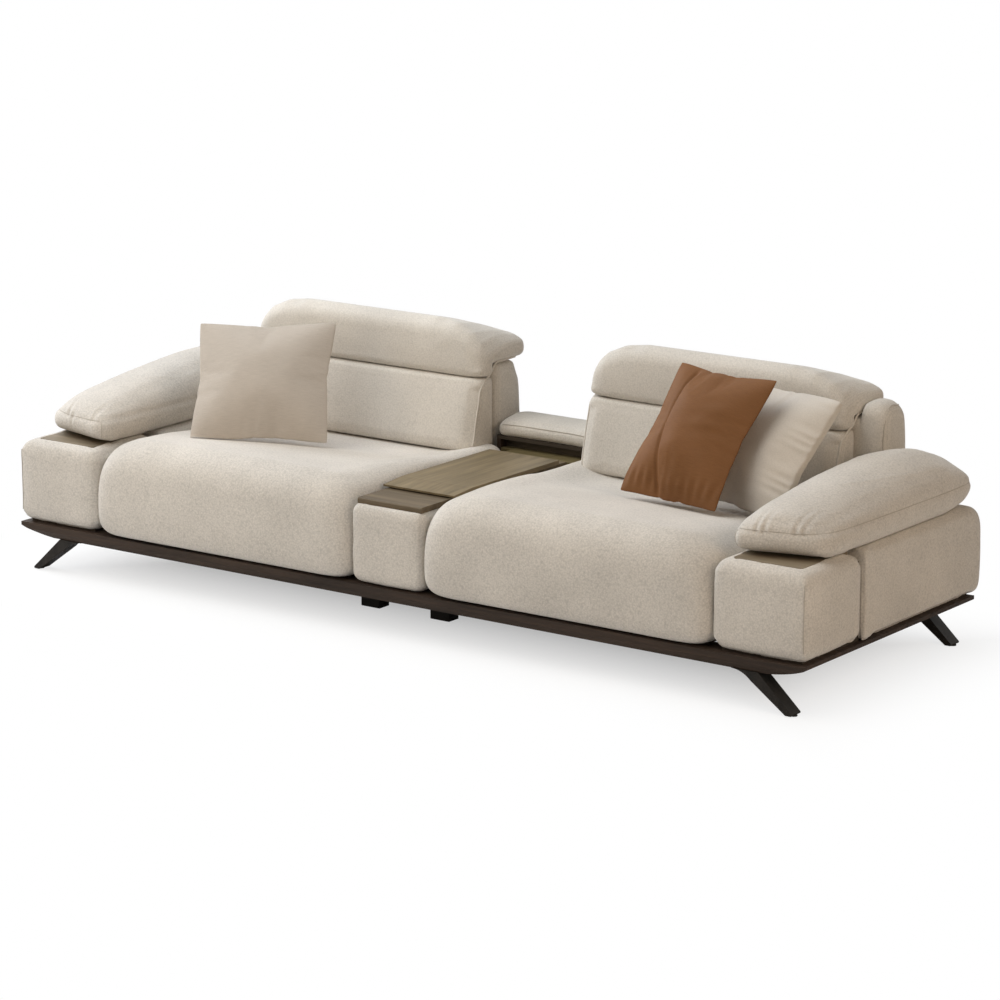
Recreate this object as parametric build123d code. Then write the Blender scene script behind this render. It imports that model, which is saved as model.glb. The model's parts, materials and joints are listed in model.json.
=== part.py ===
from build123d import *
import math
import os

# A long low sofa with two wide seats, a console between them and a timber platform base.
# Frame: X runs along the sofa, +X to the viewer's right when facing its front, the front faces -Y, +Z is up.
# Places are worked out from the floor under the middle of the platform, in millimetres.

# Layout along the sofa: half its length, the width of an end and the width of the console
side_outer = 1504
side_width = 326
console_half_width = 139
module_gap = 3
overrun = 20
seat_outer = side_outer - side_width

# Platform base
base_inset = 4
base_length = (side_outer - base_inset) * 2
base_depth = 994
base_top = 158
base_thickness = 42
end_edge = 12
scoop_length = 130
undercut = 14
undercut_lip = 20
rail_width = 90
cross_rail_width = 70
cross_rail_share = (-0.335, -0.105, 0.105, 0.335)

# Legs and feet
leg_splay = 122
leg_top_width = 92
leg_toe_width = 28
leg_end_margin = 36
leg_depth = 50
leg_setback = 10
flare_width = 66
flare_drop = 27
leg_edge_round = 4
plate_thickness = 4
plate_margin = 6
foot_width = 74
foot_depth = 52
foot_setback = 266
foot_centre = -125
foot_spacing = 273
foot_round = 3
glide_thickness = 3
glide_radius = 11

# Fasteners
screw_radius = 2.5
screw_head_radius = 4.5
screw_head_height = 2.5
screw_length = 30
bolt_radius = 4
bolt_head_radius = 8
bolt_head_height = 6
bolt_bite = 30

# Seats
seat_front = 515
seat_rear = 355
seat_floor_gap = 2
seat_crest = 492
seat_rear_height = 412
seat_knee = 118
seat_front_round = 132
seat_bottom_round = 34
seat_rear_round = 12
seat_crown = 9
seat_front_bulge = 5
seat_side_round = 190
seat_side_top_drop = 86
seat_corner_round = 95
seat_side_inset = 30
seat_frame_height = 92
seat_frame_board = 30
seat_wall = 36
strap_width = 60
strap_thickness = 2
strap_count_long = 5
strap_count_cross = 8

# End blocks and side bodies
block_front = 492
block_rear = 168
block_top = 432
block_round = 34
block_corner_round = 9
block_crown = 4
body_front = 162
body_rear = 541
body_top = 437
body_round = 26
body_rear_chamfer = 62
side_wall = 26
side_frame_board = 22
side_frame_top = 400
tray_inset = 46
tray_thickness = 12
tray_rise = 1

# Arm cushions
arm_margin = 3
arm_width = 314
arm_rear_width = 249
arm_outer = side_outer - arm_margin
arm_front = 400
arm_rear = 508
arm_height = 190
arm_outer_drop = 30
arm_yaw = 14
arm_lower_round = 44
arm_inner_round = 72
arm_outer_round = 64
arm_crown = 16

# Console
console_front = 492
console_block_depth = 160
console_block_top = 414
console_round = 24
carcass_board = 18
tray_board = 18
tray_half_width = 122
tray_front = 470
tray_rear = 300
tray_recess = 6
slab_board = 14
slab_gap = 5
slab_front = 322
slab_rear = 240
slab_bevel_length = 95
slab_bevel_drop = 8
spacer_width = 20
ledge_front = 312
ledge_rear = 396
ledge_board = 14
niche_half_width = 195
niche_front = 362
niche_rear = 528
niche_board = 15
niche_height = 43
pad_board = 12
pad_front = 356
pad_rear = 548
pad_height = 58
pad_round = 18
pad_crown = 12

# Sliding backs, measured from the seat's rear height
back_inner = 205
back_margin = 28
back_outer = seat_outer - back_margin
back_lift = 3
back_bottom = seat_rear_height + back_lift
back_foot_front = 232
back_seam_front = 292
back_lower_height = 238
back_seam_height = back_bottom + back_lower_height
back_rear = 366
back_side_round = 60
back_side_inset = 34
back_bottom_round = 26
back_height = 414
back_top = back_bottom + back_height
crest_round = 76
crest_end_round = 200
crest_end_drop = 164
lip_rear = 549
lip_rise = 327
lip_height = back_bottom + lip_rise
lip_underside_rise = 278
lip_underside = back_bottom + lip_underside_rise
lip_round = 26
lip_end_drop = 18
welt_radius = 4

# Fixed rear shells
shell_inner = 203
shell_margin = 20
shell_outer = seat_outer - shell_margin
shell_front = 373
shell_rear = 522
shell_rise = 267
shell_top = back_bottom + shell_rise
shell_round = 30
shell_rear_round = 70
shell_bulge = 9
wing_reach = 67
wing_outer = seat_outer + wing_reach
wing_rises = {"left": 275, "right": 327}
wing_round = 46
shell_wall = 13
shell_frame_board = 30
shell_frame_depth = 118

# Guides of the sliding backs: steel rods in sleeves, and the board inside the back that the rods carry
guide_rise = 145
guide_height = back_bottom + guide_rise
guide_share = (0.25, 0.75)
rod_radius = 10
rod_clearance = 0.06
rod_tail = 67
sleeve_radius = 16
sleeve_length = 112
flange_radius = 24
flange_thickness = 4
board_thickness = 15
board_reach = 103
board_down = 112
board_up = 118
board_margin = 120

# Scatter cushions
cushion_sizes = {"beige": (450, 420, 130), "brown": (405, 450, 125), "cream": (420, 420, 130)}
cushion_sides = {"beige": "left", "brown": "right", "cream": "right"}
# Each one's centre: in from the seat's outer end, along Y, and up from the seat's rear height.
cushion_centres = {"beige": (351.6, -58.9, 226), "brown": (376.6, 17, 241.2), "cream": (220.6, 124.9, 208.9)}
# How each one is turned, leaned back and rolled, in degrees.
cushion_turns = {"beige": (27.8, -39.2, -2.1), "brown": (-11.7, -38.2, -0.5), "cream": (-10.3, -35.3, 6.2)}

# Clearances
soft_clearance = 0.5
fit_clearance = 0.3
body_clearance = 2

sides = {"left": -1, "right": 1}
# Middle of the chord between an arc's ends, moved this far to the corner, is the arc's middle.
bend_share = math.sqrt(2) - 1


def soft_outline(corners, legs, bulges):
    """A closed face whose sides, straight or bulging, run into arcs at the corners."""
    count = len(corners)
    points = [Vector(*corner) for corner in corners]
    arrive = []
    leave = []
    for index, point in enumerate(points):
        back = (points[index - 1] - point).normalized()
        ahead = (points[(index + 1) % count] - point).normalized()
        arrive.append(point + back * legs[index])
        leave.append(point + ahead * legs[index])
    edges = []
    for index, point in enumerate(points):
        chord = (arrive[index] + leave[index]) / 2
        edges.append(ThreePointArc(arrive[index], chord + (point - chord) * bend_share, leave[index]))
        start = leave[index]
        stop = arrive[(index + 1) % count]
        if bulges[index] == 0:
            edges.append(Line(start, stop))
        else:
            ahead = (stop - start).normalized()
            outward = Vector(ahead.Y, -ahead.X)
            edges.append(ThreePointArc(start, (start + stop) / 2 + outward * bulges[index], stop))
    return make_face(edges)


def rounding(share):
    """How far a quarter-round edge is drawn in, as a share of its depth, at a share of its length."""
    return 1 - math.sqrt(1 - (1 - share) ** 2)


def eased_places(inner, outer, length):
    """Stations from one side to the other, closer near the ends, each with its reach from its end."""
    place_share = (0, 0.03, 0.12, 0.3, 0.6, 1)
    reaches = [length * share for share in place_share]
    places = [(inner + reach, reach) for reach in reaches]
    places.append(((inner + outer) / 2, length))
    return places + [(outer - reach, reach) for reach in reversed(reaches)]


def drawn_in(reach, length):
    """How far an edge that is rounded over a length is drawn in, at a reach from its end."""
    return rounding(min(1, reach / length))


def box_between(x0, x1, y0, y1, z0, z1):
    return Pos((x0 + x1) / 2, (y0 + y1) / 2, (z0 + z1) / 2) * Box(abs(x1 - x0), abs(y1 - y0), abs(z1 - z0))


def upright(x, y, z0, z1, radius):
    """A vertical round bar from z0 up to z1."""
    return Pos(x, y, (z0 + z1) / 2) * Cylinder(radius, z1 - z0)


def on_side(shape, side):
    """A right-hand shape, or its mirror image for the left-hand side."""
    if side == "right":
        return shape
    return mirror(shape, about=Plane.YZ)


def save(shape, name):
    """Write a node, moved so that the origin lies under the middle of the whole sofa."""
    front = -seat_front - seat_front_bulge
    rear = lip_rear + welt_radius
    export_step(Pos(0, -(front + rear) / 2, 0) * shape, f"parts/{name}.step")
    print(name, len(shape.solids()), round(shape.volume))


def group(shapes):
    return Compound([solid for shape in shapes for solid in shape.solids()])


# Platform base

def boat_hull():
    """The platform's side view, drawn as one body: flat below, its ends scooped to a thin edge."""
    half = base_length / 2
    bottom = base_top - base_thickness
    edge = base_top - end_edge
    flat = half - scoop_length
    rise = edge - bottom
    sag = scoop_length * rise / math.hypot(scoop_length, rise) * (base_thickness / scoop_length) * bend_share
    middle_x = (half + flat) / 2
    middle_z = (edge + bottom) / 2 - sag
    edges = [
        Line((-flat, bottom), (flat, bottom)),
        ThreePointArc((flat, bottom), (middle_x, middle_z), (half, edge)),
        Line((half, edge), (half, base_top)),
        Line((half, base_top), (-half, base_top)),
        Line((-half, base_top), (-half, edge)),
        ThreePointArc((-half, edge), (-middle_x, middle_z), (-flat, bottom)),
    ]
    hull = extrude(Plane.XZ * make_face(edges), base_depth / 2, both=True)
    return hull


def long_rail():
    """Section of the front rail: a short upright lip above a face that leans back under it."""
    front = -base_depth / 2
    bottom = base_top - base_thickness
    section = Polyline(
        (front, base_top), (front, base_top - undercut_lip), (front + undercut, bottom),
        (front + rail_width, bottom), (front + rail_width, base_top), close=True)
    return extrude(Plane.YZ * make_face(section), base_length / 2, both=True)


def leg_places():
    half = base_length / 2
    for side, sign in sides.items():
        for end, turn in (("front", 1), ("rear", -1)):
            yield f"leg_{end}_{side}", sign, turn


def leg_top_span():
    """The leg's top, from its inner to its outer edge, on the right-hand side."""
    toe = base_length / 2 - leg_end_margin
    outer = toe - leg_splay
    return outer - leg_top_width, outer


def leg_mid_y():
    return base_depth / 2 - leg_setback - leg_depth / 2


def plate_span():
    """The plate let into the leg's top lies beyond the thin start of the flare."""
    inner, outer = leg_top_span()
    return inner + flare_width / 2, outer - plate_margin


def leg_screw_places():
    inner, outer = plate_span()
    spread = (outer - inner) / 4
    middle = (inner + outer) / 2
    for sign in sides.values():
        for turn in (1, -1):
            for along in (-1, 1):
                for across in (-1, 1):
                    yield sign * (middle + along * spread), -turn * (leg_mid_y() + across * leg_depth / 4)


def bolt_places():
    """Frame bolts go up through front rail and cross rails into the seat frames."""
    for share in cross_rail_share:
        yield share * base_length, -seat_front + seat_wall * 2 + seat_frame_board / 2
        yield share * base_length, seat_rear - seat_wall - seat_frame_board / 2


def base_rails():
    hull = boat_hull()
    bottom = base_top - base_thickness
    front = long_rail() & hull
    rear = mirror(front, about=Plane.XZ)
    half = base_length / 2
    inner_y = base_depth / 2 - rail_width
    end = box_between(half - rail_width, half, -inner_y, inner_y, bottom, base_top) & hull
    bores = []
    for x, y in leg_screw_places():
        bores.append(upright(x, y, bottom, bottom + screw_length - plate_thickness, screw_radius))
    for x, y in bolt_places():
        bores.append(upright(x, y, bottom, base_top, bolt_radius))
        bores.append(upright(x, y, bottom, bottom + bolt_head_height, bolt_head_radius))
    front = front - bores
    rear = rear - bores
    save(front, "base_front_rail")
    save(rear, "base_rear_rail")
    for side in sides:
        save(on_side(end, side), f"base_end_rail_{side}")
    crosses = []
    for share in cross_rail_share:
        x = share * base_length
        left, right = x - cross_rail_width / 2, x + cross_rail_width / 2
        cross = box_between(left, right, -inner_y, inner_y, bottom, base_top)
        crosses.append(cross - bores)
    save(group(crosses), "base_cross_rails")


def leg_body():
    """Front right leg: it flares into the rail above and tapers as it splays to the toe."""
    top = base_top - base_thickness
    inner, outer = leg_top_span()
    toe = base_length / 2 - leg_end_margin
    flare_end = (inner + flare_width, top - flare_drop)
    edges = [
        Line((inner, top), (outer, top)),
        Line((outer, top), (toe, glide_thickness)),
        Line((toe, glide_thickness), (toe - leg_toe_width, glide_thickness)),
        Line((toe - leg_toe_width, glide_thickness), flare_end),
        TangentArc((inner, top), flare_end, tangent=(1, 0)),
    ]
    face = Plane.XZ.offset(leg_mid_y() - leg_depth / 2) * make_face(edges)
    leg = extrude(face, leg_depth)
    return fillet(leg.edges().filter_by(GeomType.LINE).sort_by(Axis.X)[-1], leg_edge_round)


def legs():
    leg = leg_body()
    rail_bottom = base_top - base_thickness
    top = rail_bottom - plate_thickness
    inner, outer = plate_span()
    toe_middle = base_length / 2 - leg_end_margin - leg_toe_width / 2
    plate_half = leg_depth / 2 - plate_margin
    plate = box_between(inner, outer, -leg_mid_y() - plate_half, -leg_mid_y() + plate_half, top, rail_bottom)
    plates = []
    glides = []
    screws = []
    bores = []
    for x, y in leg_screw_places():
        shank_end = rail_bottom + screw_length - plate_thickness
        shank = upright(x, y, top - screw_head_height, shank_end, screw_radius)
        head = upright(x, y, top - screw_head_height, top, screw_head_radius)
        screws.append(shank + head)
        bores.append(shank + head)
    for name, sign, turn in leg_places():
        placed = leg if turn == 1 else mirror(leg, about=Plane.XZ)
        placed = placed if sign == 1 else mirror(placed, about=Plane.YZ)
        flat = plate if turn == 1 else mirror(plate, about=Plane.XZ)
        flat = flat if sign == 1 else mirror(flat, about=Plane.YZ)
        save(placed - bores - flat, name)
        plates.append(flat - bores)
        glides.append(upright(sign * toe_middle, -turn * leg_mid_y(), 0, glide_thickness, glide_radius))
    for x in foot_columns():
        for y in foot_rows():
            glides.append(upright(x, y, 0, glide_thickness, glide_radius))
    save(group(plates), "leg_plates")
    save(group(screws), "leg_screws")
    save(group(glides), "floor_glides")


def foot_columns():
    return foot_centre - foot_spacing / 2, foot_centre + foot_spacing / 2


def foot_rows():
    front = -base_depth / 2 + foot_setback + foot_depth / 2
    return front, -front


def centre_feet():
    """Four blocks under the middle of the platform, each with a cross board that carries it."""
    top = base_top - base_thickness
    feet = []
    for x in foot_columns():
        for y in foot_rows():
            foot = box_between(
                x - foot_width / 2, x + foot_width / 2, y - foot_depth / 2, y + foot_depth / 2,
                glide_thickness, top)
            feet.append(fillet(foot.edges().filter_by(Axis.Z), foot_round))
    save(group(feet), "centre_feet")
    span = cross_rail_share[2] * base_length - cross_rail_width / 2
    boards = []
    for y in foot_rows():
        boards.append(box_between(-span, span, y - foot_depth / 2, y + foot_depth / 2, top, base_top))
    save(group(boards), "foot_boards")


def frame_bolts():
    bottom = base_top - base_thickness
    bolts = []
    for x, y in bolt_places():
        shank = upright(x, y, bottom, base_top + bolt_bite, bolt_radius)
        head = upright(x, y, bottom, bottom + bolt_head_height, bolt_head_radius)
        bolts.append(shank + head)
    save(group(bolts), "frame_bolts")


# Seats

def seat_section(front, crest, bottom, drop):
    corners = [
        (-front, bottom), (seat_rear, bottom), (seat_rear, seat_rear_height - drop),
        (seat_knee, seat_rear_height - drop), (-front, crest)]
    legs_ = [seat_bottom_round, seat_rear_round, seat_rear_round, seat_front_round / 2, seat_front_round]
    bulges = [0, 0, 0, seat_crown, seat_front_bulge]
    return soft_outline(corners, legs_, bulges)


def seat_cushion():
    """The seat: crowned, with a large round front edge and softly rounded sides."""
    inner = console_half_width
    outer = seat_outer - module_gap / 2
    bottom = base_top + seat_floor_gap
    sections = []
    for x, reach in eased_places(inner, outer, seat_side_round):
        depth = drawn_in(reach, seat_corner_round)
        top = seat_crest - seat_side_top_drop * drawn_in(reach, seat_side_round)
        face = seat_section(
            seat_front - seat_side_inset * depth, top,
            bottom + seat_bottom_round * depth / 2, seat_rear_round * depth)
        sections.append(Plane.YZ.offset(x) * face)
    return loft(sections, ruled=True)


def seat_frame_span():
    inner = console_half_width + seat_wall
    outer = seat_outer - seat_wall
    return inner, outer, -seat_front + seat_wall * 2, seat_rear - seat_wall


def seats():
    cushion = seat_cushion()
    inner, outer, front, rear = seat_frame_span()
    frame_top = base_top + seat_frame_height
    frame = box_between(inner, outer, front, rear, base_top, frame_top)
    board = seat_frame_board
    middle = (inner + outer) / 2
    for x0, x1 in ((inner + board, middle - board / 2), (middle + board / 2, outer - board)):
        frame = frame - box_between(
            x0, x1, front + board, rear - board, base_top - overrun, frame_top + overrun)
    for x, y in bolt_places():
        if x > 0:
            frame = frame - upright(x, y, base_top - overrun, base_top + bolt_bite, bolt_radius)
    pocket_top = frame_top + strap_thickness * 2 + soft_clearance
    pocket = box_between(
        inner - soft_clearance, outer + soft_clearance, front - soft_clearance, rear + soft_clearance,
        base_top - overrun, pocket_top)
    cushion = cushion - pocket
    straps = []
    for index in range(strap_count_long):
        y = front + (rear - front) * (index + 1 / 2) / strap_count_long
        straps.append(box_between(
            inner, outer, y - strap_width / 2, y + strap_width / 2,
            frame_top + strap_thickness, frame_top + strap_thickness * 2))
    for index in range(strap_count_cross):
        x = inner + (outer - inner) * (index + 1 / 2) / strap_count_cross
        straps.append(box_between(
            x - strap_width / 2, x + strap_width / 2, front, rear, frame_top, frame_top + strap_thickness))
    for side in sides:
        save(on_side(frame, side), f"seat_frame_{side}")
        save(on_side(cushion, side), f"seat_cushion_{side}")
        save(group([on_side(strap, side) for strap in straps]), f"seat_webbing_{side}")


# End blocks, side bodies and arm cushions

def side_inner():
    return seat_outer + module_gap / 2


def block_form():
    """The end block: soft rounded edges, with a tight seam down its outer front corner."""
    bottom = base_top + seat_floor_gap
    inner = side_inner()
    outer = side_outer
    middle = (inner + outer) / 2
    sections = []
    for depth_share, height in (
            (1, bottom), (0.35, bottom + block_round * 0.3), (0, bottom + block_round),
            (0, block_top - block_round), (0.35, block_top - block_round * 0.3), (1, block_top)):
        draw = block_round * depth_share
        corners = [
            (inner + draw, -block_front + draw), (outer - draw, -block_front + draw),
            (outer - draw, -block_rear - draw), (inner + draw, -block_rear - draw)]
        legs_ = [block_round, block_corner_round, block_round * 2, block_round]
        outline = soft_outline(corners, legs_, [block_crown, block_crown, 0, 0])
        sections.append(Plane.XY.offset(height) * outline)
    return loft(sections, ruled=True)


def body_form():
    """The side body: a slab with soft edges whose top falls away at the rear."""
    bottom = base_top + seat_floor_gap
    inner = side_inner()
    outer = side_outer
    stations = (0, 0.3, 1)
    places = [(inner + body_round * s, rounding(s)) for s in stations]
    places += [(outer - body_round * s, rounding(s)) for s in reversed(stations)]
    sections = []
    for x, depth in places:
        draw = body_round * depth
        corners = [
            (body_front * -1 + draw, bottom + draw), (body_rear - draw, bottom + draw),
            (body_rear - draw, body_top - draw), (body_front * -1 + draw, body_top - draw)]
        legs_ = [body_round, body_round, body_rear_chamfer, body_round]
        sections.append(Plane.YZ.offset(x) * soft_outline(corners, legs_, [0, block_crown, 0, 0]))
    return loft(sections, ruled=True)


def side_frame_span():
    return (side_inner() + side_wall, side_outer - side_wall, -block_front + side_wall,
            body_rear - side_wall - body_round)


def side_frame():
    """One timber frame under block and side body: a box with its panels cut open."""
    inner, outer, front, rear = side_frame_span()
    board = side_frame_board
    frame = box_between(inner, outer, front, rear, base_top, side_frame_top)
    frame = frame - box_between(
        inner + board, outer - board, front + board, rear - board, base_top - overrun, side_frame_top - board)
    bays = 3
    pitch = (rear - front - board) / bays
    for index in range(bays):
        y0 = front + board + pitch * index
        y1 = y0 + pitch - board
        frame = frame - box_between(
            inner - overrun, outer + overrun, y0, y1, base_top + board * 2, side_frame_top - board * 2)
    return frame


def arm_form():
    """The arm cushion: a puffed wedge that rises to a crest near its rear, its front set at a slant."""
    bottom = body_top + soft_clearance
    length = arm_front + arm_rear
    # Place along the cushion, width, lift of the underside, height of the top and width kept inside.
    place_share = (0, 0.016, 0.06, 0.16, 0.42, 0.66, 0.82, 0.93, 0.985, 1)
    width_share = (0.76, 0.90, 0.97, 1, 1, 1, 1, 0.97, 0.88, 0.74)
    lift_share = (0.17, 0.08, 0.02, 0, 0, 0, 0, 0.05, 0.20, 0.34)
    top_share = (0.40, 0.50, 0.56, 0.66, 0.84, 0.96, 0.97, 0.84, 0.65, 0.50)
    inner_share = (0, 0, 0, 0, 0, 0.25, 0.8, 1, 1, 1)
    yaw_share = (1, 1, 0.9, 0.65, 0.2, 0, 0, 0, 0, 0)
    sections = []
    for index, place in enumerate(place_share):
        y = -arm_front + length * place
        inner = arm_outer - arm_width + (arm_width - arm_rear_width) * inner_share[index]
        middle = (inner + arm_outer) / 2
        half = (arm_outer - inner) / 2 * width_share[index]
        low = arm_height * lift_share[index]
        high = arm_height * top_share[index] - arm_crown
        size = (high - low) / arm_height
        lower = arm_lower_round * min(1, size * 1.6)
        upper = min(1, size * 1.2)
        corners = [(-half, low), (half, low), (half, high - arm_outer_drop * upper), (-half, high)]
        legs_ = [lower, lower, arm_outer_round * upper, arm_inner_round * upper]
        face = soft_outline(corners, legs_, [0, 0, arm_crown, 0])
        turn = arm_yaw * yaw_share[index]
        station = Plane(origin=(middle, y, bottom), x_dir=Vector(1, 0, 0).rotate(Axis.Z, turn),
                        z_dir=Vector(0, -1, 0).rotate(Axis.Z, turn))
        sections.append(station * face)
    return loft(sections, ruled=True)


def ends():
    frame = side_frame()
    inner, outer, front, rear = side_frame_span()
    pocket = box_between(
        inner - soft_clearance, outer + soft_clearance, front - soft_clearance, rear + soft_clearance,
        base_top - overrun, side_frame_top + soft_clearance)
    tray_x0 = side_inner() + tray_inset
    tray_x1 = side_outer - tray_inset
    tray_y0 = -block_front + tray_inset
    tray_y1 = -block_rear - block_round / 2
    seat_of_tray = block_top + tray_rise - tray_thickness
    tray = box_between(tray_x0, tray_x1, tray_y0, tray_y1, seat_of_tray, block_top + tray_rise)
    tray_corner = min(tray_thickness, (tray_x1 - tray_x0) / 4)
    tray = fillet(tray.edges().filter_by(Axis.Z), tray_corner)
    recess = box_between(
        tray_x0 - fit_clearance, tray_x1 + fit_clearance, tray_y0 - fit_clearance, tray_y1 + fit_clearance,
        seat_of_tray, block_top + overrun)
    recess = fillet(recess.edges().filter_by(Axis.Z), tray_corner)
    block = block_form() - pocket - recess
    body = body_form() - pocket
    arm = arm_form()
    for side in sides:
        save(on_side(frame, side), f"side_frame_{side}")
        save(on_side(block, side), f"end_block_{side}")
        save(on_side(body, side), f"side_body_{side}")
        save(on_side(tray, side), f"end_tray_{side}")
        save(on_side(arm, side), f"arm_cushion_{side}")


# Console

def console_block():
    bottom = base_top + seat_floor_gap
    half = console_half_width - module_gap
    rear = -console_front + console_block_depth
    sections = []
    for depth_share, height in (
            (1, bottom), (0.35, bottom + console_round * 0.3), (0, bottom + console_round),
            (0, console_block_top - console_round), (0.35, console_block_top - console_round * 0.3),
            (1, console_block_top)):
        draw = console_round * depth_share
        corners = [(-half + draw, -console_front + draw), (half - draw, -console_front + draw),
                   (half - draw, rear), (-half + draw, rear)]
        legs_ = [console_round, console_round, module_gap, module_gap]
        sections.append(Plane.XY.offset(height) * soft_outline(corners, legs_, [block_crown, 0, 0, 0]))
    block = loft(sections, ruled=True)
    recess = box_between(
        -tray_half_width - fit_clearance, tray_half_width + fit_clearance, -tray_front - fit_clearance,
        rear + overrun, console_block_top - tray_recess, console_block_top + overrun)
    return block - recess


def console_carcass():
    """Timber carcass: a narrow box between the seats that widens behind them, open at the bottom."""
    half = console_half_width - module_gap
    front = -console_front + console_block_depth
    board = carcass_board
    wide_front = niche_front
    top = console_block_top - tray_recess
    narrow = box_between(-half, half, front, wide_front, base_top, top)
    wide = box_between(-niche_half_width, niche_half_width, wide_front, niche_rear, base_top, top)
    low, high = base_top - overrun, top - board
    hollow = box_between(-half + board, half - board, front + board, niche_rear - board, low, high)
    rear_hollow = box_between(
        -niche_half_width + board, niche_half_width - board, wide_front + board, niche_rear - board,
        base_top - overrun, top - board)
    return narrow + wide - hollow - rear_hollow


def table_slab():
    """The table slab: a board whose front is planed to a long shallow bevel."""
    bottom = console_block_top - tray_recess + tray_board + slab_gap
    top = bottom + slab_board
    side = Polyline(
        (-slab_front, bottom), (slab_rear, bottom), (slab_rear, top),
        (-slab_front + slab_bevel_length, top), (-slab_front, top - slab_bevel_drop), close=True)
    return extrude(Plane.YZ * make_face(side), console_half_width - module_gap, both=True)


def console():
    seat_of_tray = console_block_top - tray_recess
    tray_top = seat_of_tray + tray_board
    tray = box_between(-tray_half_width, tray_half_width, -tray_front, tray_rear, seat_of_tray, tray_top)
    tray = fillet(tray.edges().filter_by(Axis.X).group_by(Axis.Z)[-1].sort_by(Axis.Y)[0], tray_board / 3)
    spacers = []
    for sign in sides.values():
        x = sign * (tray_half_width - spacer_width)
        spacers.append(box_between(
            x - spacer_width / 2, x + spacer_width / 2, -slab_front + slab_bevel_length, slab_rear,
            tray_top, tray_top + slab_gap))
    floor = seat_of_tray
    niche_top = floor + niche_height
    walls = []
    for sign in sides.values():
        x0 = sign * (niche_half_width - niche_board)
        x1 = sign * niche_half_width
        walls.append(box_between(x0, x1, niche_front, niche_rear, floor, niche_top))
    inside = niche_half_width - niche_board
    back_panel = box_between(-inside, inside, ledge_rear, ledge_rear + niche_board, floor, niche_top)
    ledge_half = console_half_width - module_gap
    ledge = box_between(-ledge_half, ledge_half, ledge_front, niche_front, floor, floor + ledge_board)
    ledge = ledge + box_between(-inside, inside, niche_front, ledge_rear, floor, floor + ledge_board)
    board = box_between(
        -niche_half_width, niche_half_width, niche_front, niche_rear, niche_top, niche_top + pad_board)
    save(console_block(), "console_block")
    save(console_carcass(), "console_carcass")
    save(tray, "console_tray")
    save(table_slab(), "table_slab")
    save(group(spacers), "slab_spacers")
    save(group(walls), "niche_side_panels")
    save(back_panel, "niche_back_panel")
    save(ledge, "niche_ledge")
    save(board, "pad_board")
    save(rear_pad(niche_top + pad_board), "rear_pad")


def rear_pad(bottom):
    """The low pad behind the table: crowned, its edges rounded."""
    half = niche_half_width - body_clearance
    stations = (0, 0.3, 1)
    places = [(-half + pad_round * s, rounding(s)) for s in stations]
    places.append((0, 0))
    places += [(half - pad_round * s, rounding(s)) for s in reversed(stations)]
    sections = []
    for x, depth in places:
        draw = pad_round * depth / 2
        rise = pad_height - pad_crown - draw
        corners = [(pad_front + draw, bottom), (pad_rear - draw, bottom),
                   (pad_rear - draw, bottom + rise), (pad_front + draw, bottom + rise)]
        legs_ = [pad_round / 2, pad_round / 2, pad_round, pad_round]
        crown = pad_crown * (1 - depth / 2)
        sections.append(Plane.YZ.offset(x) * soft_outline(corners, legs_, [0, 0, crown, 0]))
    return loft(sections, ruled=True)


# Rear shells and sliding backs

def shell_wall_form(height):
    """The fixed upholstered wall behind a back, and the wing that shows beyond the back's outer edge."""
    bottom = base_top + seat_floor_gap
    stations = (0, 0.3, 1)
    places = [(shell_inner + shell_round * s, rounding(s)) for s in stations]
    places += [(shell_outer - shell_round * s, rounding(s) / 3) for s in reversed(stations)]
    sections = []
    for x, depth in places:
        draw = shell_round * depth
        corners = [(shell_front + draw / 2, bottom), (shell_rear - draw, bottom),
                   (shell_rear - draw, shell_top - draw), (shell_front + draw / 2, shell_top - draw)]
        legs_ = [shell_round / 3, shell_round / 3, shell_rear_round, shell_round / 3]
        faces = soft_outline(corners, legs_, [0, shell_bulge, 0, 0])
        sections.append(Plane.YZ.offset(x) * faces)
    wall = loft(sections, ruled=True)
    wing_bottom = body_top + soft_clearance
    places = [(shell_outer, 0), (wing_outer - wing_round, 0)]
    places += [(wing_outer - wing_round * s, rounding(s)) for s in (0.45, 0.12, 0)]
    sections = []
    for x, depth in places:
        draw = wing_round * depth
        soft = 1 - depth / 2
        corners = [(shell_front + draw / 2, wing_bottom), (shell_rear - draw / 2, wing_bottom),
                   (shell_rear - draw / 2, height - draw), (shell_front + draw / 2, height - draw)]
        legs_ = [shell_round / 3, shell_round / 3, shell_rear_round * soft, wing_round * soft]
        sections.append(Plane.YZ.offset(x) * soft_outline(corners, legs_, [0, shell_bulge, 0, 0]))
    return wall + loft(sections, ruled=True)


def guide_places():
    width = back_outer - back_inner
    return [back_inner + width * share for share in guide_share]


def guide_frame():
    """Local frame of the guides: z runs forward and up the seat's slope, y up the board, x along the sofa."""
    slope = math.degrees(math.atan2(seat_crest - seat_rear_height, seat_front + seat_knee))
    middle = shell_front + shell_wall + shell_frame_depth / 2
    return Pos(0, middle, guide_height) * Rot(90 - slope, 0, 0)


def guide_bar(x, start, stop, radius):
    """A round bar on a guide's axis, between two distances forward of the shell frame's middle."""
    return guide_frame() * Pos(x, 0, (start + stop) / 2) * Cylinder(radius, stop - start)


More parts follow.
